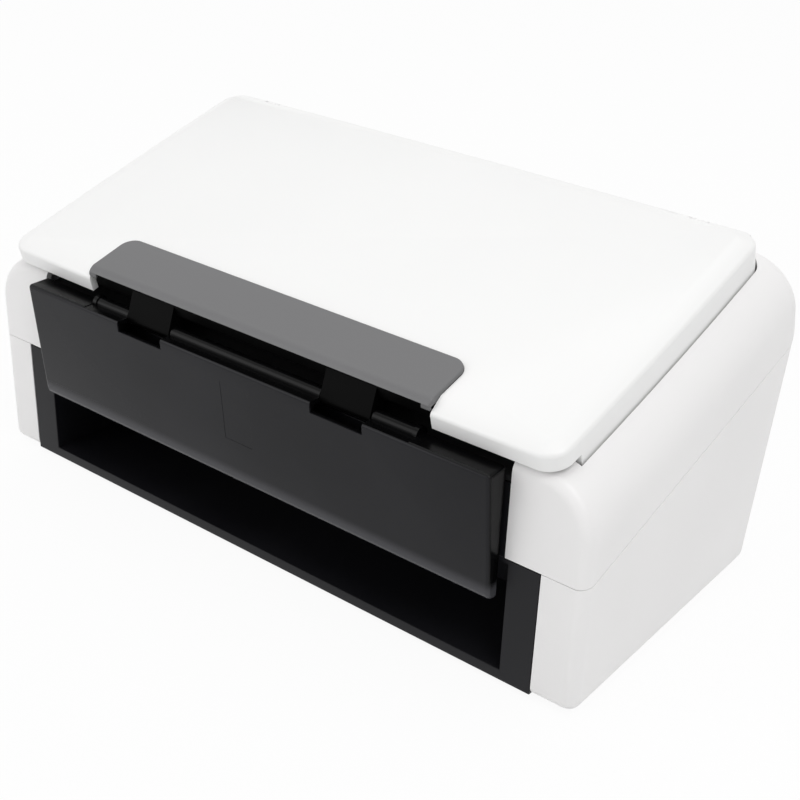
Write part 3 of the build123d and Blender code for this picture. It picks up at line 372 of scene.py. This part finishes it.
def dress(node, finish, ease=0, segments=2, rim=None):
    # a welded copy of a CAD piece; its outward sharp edges are eased
    piece = bpy.data.objects.new(node + "_shell", nodes[node].data.copy())
    bpy.context.scene.collection.objects.link(piece)
    mesh = bmesh.new()
    mesh.from_mesh(piece.data)
    bmesh.ops.remove_doubles(mesh, verts=mesh.verts, dist=weld["gap"])
    bmesh.ops.dissolve_limit(mesh, angle_limit=weld["bend"], verts=mesh.verts, edges=mesh.edges)
    if rim:
        softenRim(mesh, **rim)
    for face in mesh.faces:
        face.smooth = True
    eased = mesh.edges.layers.float.new("bevel_weight_edge")
    for edge in mesh.edges:
        edge.smooth = not (len(edge.link_faces) == 2 and edge.calc_face_angle(0) > sharpAngle)
        edge[eased] = float(not edge.smooth and edge.is_convex)
    mesh.to_mesh(piece.data)
    mesh.free()
    if ease:
        bevel = piece.modifiers.new("ease", "BEVEL")
        bevel.width = ease
        bevel.segments = segments
        bevel.limit_method = "WEIGHT"
        bevel.harden_normals = True
    piece.data.materials.clear()
    piece.data.materials.append(finish.material)
    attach(piece, owners[node])
    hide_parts(node)


coverRim = {
    "low": -0.0037, "high": -0.0022, "rear": 0.0615, "side": -0.3, "top": 0.5,
    "width": 0.0013, "segments": 4,
}
dressed = {
    "base_shell": {"finish": "shellWhite", "ease": 0.0007, "segments": 3},
    "upper_shell": {"finish": "shellWhite", "ease": 0.0007, "segments": 3},
    "lid": {"finish": "coverWhite", "ease": 0.0004, "segments": 3, "rim": coverRim},
    "lid_grip": {"finish": "gripGrey", "ease": 0.0003},
    "flap": {"finish": "flapDark", "ease": 0.0003},
    # the bracket's finish is black plastic with painted shade
    "flap_bracket": {"finish": "bracketPaintedShade", "ease": 0.0004, "segments": 3},
    "front_frame": {"finish": "frameBlack", "ease": 0.0003},
    "deck_frame": {"finish": "insideBlack", "ease": 0.0002},
    "hatch": {"finish": "insideBlack", "ease": 0.0002},
    "lid_liner": {"finish": "insideBlack"},
}
for node, look in dressed.items():
    dress(node, **(look | {"finish": finishes[look["finish"]]}))

# pieces that keep their CAD form and take a finish
painted = {
    "insideBlack": ("lower_guide", "hinge_posts", "guide_left", "guide_right"),
    "plateSteel": ("side_frame_left", "side_frame_right"),
    "shaftSteel": (
        "pick_shaft", "separation_shaft", "feed_shaft", "feed_idler_shaft", "exit_shaft",
        "exit_idler_shaft", "motor_shaft", "hinge_pins", "flap_pins", "chassis_screws",
    ),
    "bushBrass": ("shaft_bushes",),
    "rollerRubber": ("pick_rollers", "separation_rollers", "feed_rollers", "exit_rollers"),
    "idlerCream": ("feed_idlers", "exit_idlers", "guide_pinion"),
    "sensorBlack": ("scan_bar_rear", "scan_bar_front"),
    "sensorGlass": ("scan_glass_rear", "scan_glass_front"),
    "motorCan": ("motor",),
    "pulleyWhite": ("motor_pulley", "pick_pulley", "feed_pulley", "exit_pulley"),
    "beltRubber": ("drive_belt",),
    "boardLacquer": ("main_board",),
    "socketBlack": ("power_jack",),
    "socketSteel": ("usb_port",),
    "buttonGrey": ("power_button",),
    "footRubber": ("feet",),
}
for name, members in painted.items():
    for node in members:
        for slot in nodes[node].material_slots:
            slot.material = finishes[name].material
print("pieces dressed")


# room, light and camera

room = {"size": 8.0, "white": (0.86, 0.86, 0.86, 1), "glow": 0.93, "sky": 0.53}
lamps = {
    "overhead": {"place": (-0.1, 0.1, 1.5), "target": (0, 0, 0.1), "size": (1.6, 1.6), "power": 6.3},
    "leftFront": {"place": (-0.9, -1.3, 0.7), "target": (0, 0, 0.08), "size": (1.0, 1.0), "power": 4.9},
    "rightTop": {"place": (1.15, -0.5, 1.75), "target": (0, 0, 0.08), "size": (0.9, 0.9), "power": 12.6},
}
eye = {
    "azimuth": 37.15, "elevation": 27.74, "roll": 2.35, "focal": 1421.2, "picture": 800, "sensor": 36,
    "place": (0.330985, -0.344345 + frontY, 0.324734),
}


def directRays(tree):
    # 1 for what the camera sees straight, in a gloss or through glass, 0 for the light in the room
    path = tree.nodes.new("ShaderNodeLightPath")
    total = path.outputs["Is Camera Ray"]
    for name in ("Is Glossy Ray", "Is Transmission Ray"):
        both = tree.nodes.new("ShaderNodeMath")
        both.operation, both.use_clamp = "ADD", True
        tree.links.new(total, both.inputs[0])
        tree.links.new(path.outputs[name], both.inputs[1])
        total = both.outputs[0]
    return total


def makeFloor():
    mesh = bmesh.new()
    bmesh.ops.create_grid(mesh, x_segments=2, y_segments=2, size=room["size"] / 2)
    data = bpy.data.meshes.new("floor")
    mesh.to_mesh(data)
    mesh.free()
    floor = bpy.data.objects.new("floor", data)
    bpy.context.scene.collection.objects.link(floor)
    finish = Finish("floorPaper", None, Base_Color=room["white"], Roughness=0.9)
    seen = Wire(finish, directRays(finish.tree))
    glow = finish.node("ShaderNodeEmission", {}, {"Color": (1, 1, 1, 1), "Strength": 1.0}, "Emission")
    body = Wire(finish, finish.shader.outputs["BSDF"])
    mixed = finish.node("ShaderNodeMixShader", {}, {0: seen * room["glow"], 1: body, 2: glow}, "Shader")
    finish.feed(finish.tree.nodes["Material Output"].inputs["Surface"], mixed)
    data.materials.append(finish.material)


def makeSky():
    world = bpy.data.worlds.new("studio")
    bpy.context.scene.world = world
    world.use_nodes = True
    tree = world.node_tree
    back = tree.nodes["Background"]
    back.inputs["Color"].default_value = (1, 1, 1, 1)
    share = tree.nodes.new("ShaderNodeMath")
    share.operation = "MULTIPLY_ADD"
    share.inputs[1].default_value = 1 - room["sky"]
    share.inputs[2].default_value = room["sky"]
    tree.links.new(directRays(tree), share.inputs[0])
    tree.links.new(share.outputs[0], back.inputs["Strength"])


def softBox(name, place, target, size, power):
    light = bpy.data.lights.new(name, "AREA")
    light.shape = "RECTANGLE"
    light.size, light.size_y = size
    light.energy = power
    lamp = bpy.data.objects.new(name, light)
    bpy.context.scene.collection.objects.link(lamp)
    lamp.location = place
    lamp.rotation_euler = (Vector(target) - Vector(place)).to_track_quat("-Z", "Y").to_euler()


def makeCamera():
    turn, rise, roll = (radians(eye[name]) for name in ("azimuth", "elevation", "roll"))
    back = Vector((sin(turn) * cos(rise), -cos(turn) * cos(rise), sin(rise)))
    right = Vector((cos(turn), sin(turn), 0))
    up = back.cross(right)
    across = right * cos(roll) + up * sin(roll)
    upright = up * cos(roll) - right * sin(roll)
    lens = bpy.data.cameras.new("camera")
    lens.sensor_width = eye["sensor"]
    lens.lens = eye["focal"] / eye["picture"] * eye["sensor"]
    camera = bpy.data.objects.new("camera", lens)
    bpy.context.scene.collection.objects.link(camera)
    turned = Matrix((across, upright, back)).transposed().to_4x4()
    camera.matrix_world = Matrix.Translation(eye["place"]) @ turned
    bpy.context.scene.camera = camera


makeFloor()
makeSky()
for name, lamp in lamps.items():
    softBox(name, **lamp)
makeCamera()
bpy.context.scene.view_settings.view_transform = "Standard"
print("room, light and camera set")
